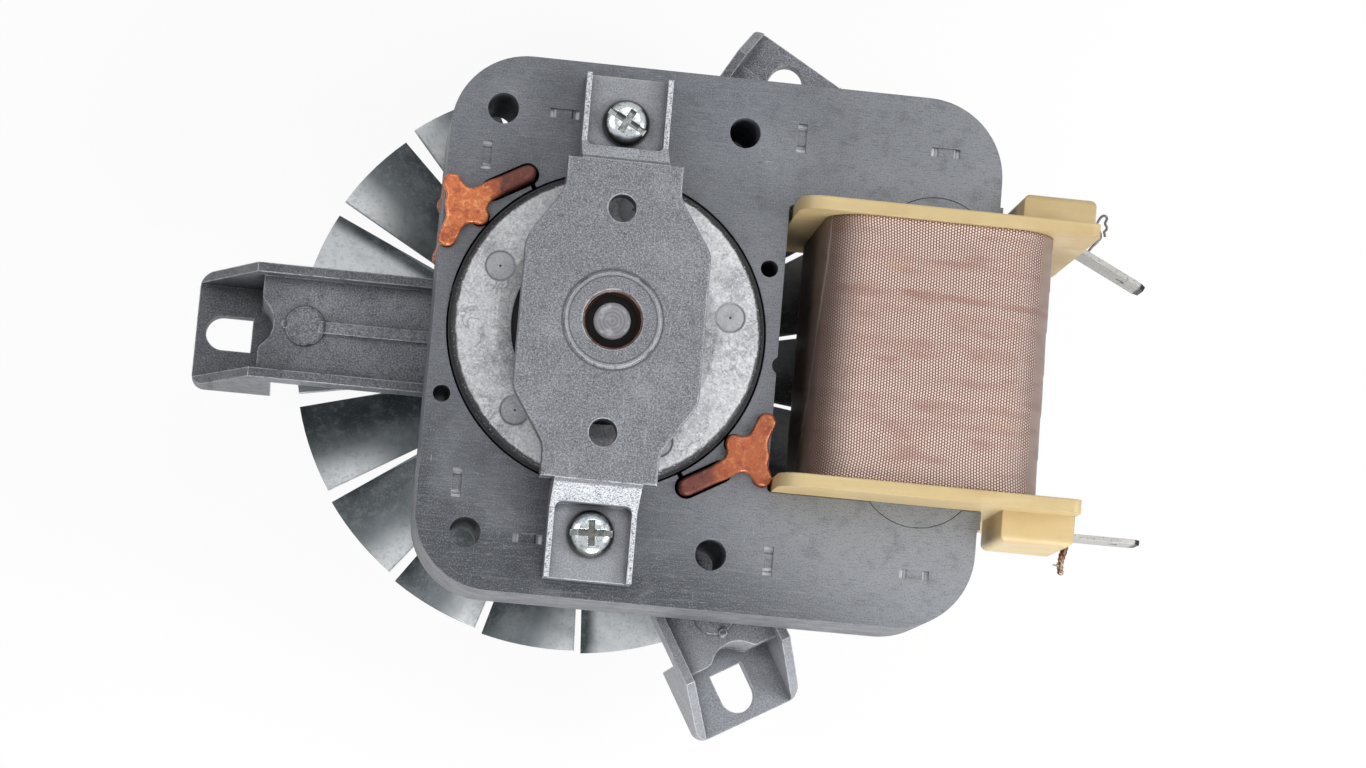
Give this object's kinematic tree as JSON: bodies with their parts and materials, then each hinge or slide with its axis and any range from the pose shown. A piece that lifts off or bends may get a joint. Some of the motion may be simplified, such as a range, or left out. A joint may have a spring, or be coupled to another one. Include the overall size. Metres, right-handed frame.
{
  "type": "oven fan motor",
  "caption": "Shaded-pole oven fan motor with a C-shaped stator, one coil, a cooling fan and a three-legged bracket with slotted feet.",
  "frame": {"origin": "on the shaft's axis in the plane of the feet's undersides", "axes": "+Z along the shaft towards the rear bearing, +X from the shaft to the coil"},
  "size_m": [0.1592, 0.1248, 0.0838],
  "materials": {
    "lamination_steel": "satin, faint rolling lines",
    "die_cast": "as cast, speckled, worn edges",
    "cast_cage": "as cast, bright",
    "galvanised_sheet": "galvanised, soft spangle",
    "copper": "bright copper, darker in the slot",
    "screw_zinc": "zinc plated",
    "bobbin_plastic": "moulded, cream",
    "coil_tape_cloth": "woven glass tape, varnished",
    "magnet_wire": "enamelled",
    "sintered_bronze": "oiled, porous",
    "felt": "oiled felt",
    "shaft_steel": "ground, turned end",
    "tinned": "tin plated",
    "spring_steel": "rolled",
    "washer_fibre": "hard fibre"
  },
  "bodies": {
    "stator": {"stator_core": "lamination_steel", "coil_core": "lamination_steel", "bobbin": "bobbin_plastic", "coil_winding": "magnet_wire", "coil_tape": "coil_tape_cloth", "terminal_upper": "tinned", "terminal_lower": "tinned", "winding_tail_upper": "tinned", "winding_tail_lower": "tinned", "shading_ring_left": "copper", "shading_ring_right": "copper", "rear_bridge": "die_cast", "front_bracket": "die_cast", "bridge_screws": "screw_zinc", "rear_bearing": "sintered_bronze", "front_bearing": "sintered_bronze", "rear_felt": "felt", "front_felt": "felt", "rear_bearing_clip": "spring_steel", "front_bearing_clip": "spring_steel"},
    "rotor": {"shaft": "shaft_steel", "rotor_core": "lamination_steel", "rotor_cage": "cast_cage", "cooling_fan": "galvanised_sheet", "fan_hub": "shaft_steel", "rear_thrust_washer": "washer_fibre", "front_thrust_washer": "washer_fibre", "front_spacer": "shaft_steel"}
  },
  "joints": [
    {"name": "rotor_spin", "type": "hinge", "parent": "stator", "child": "rotor", "pos_m": [0, 0, 0], "axis": [0, 0, 1], "continuous": true}
  ]
}
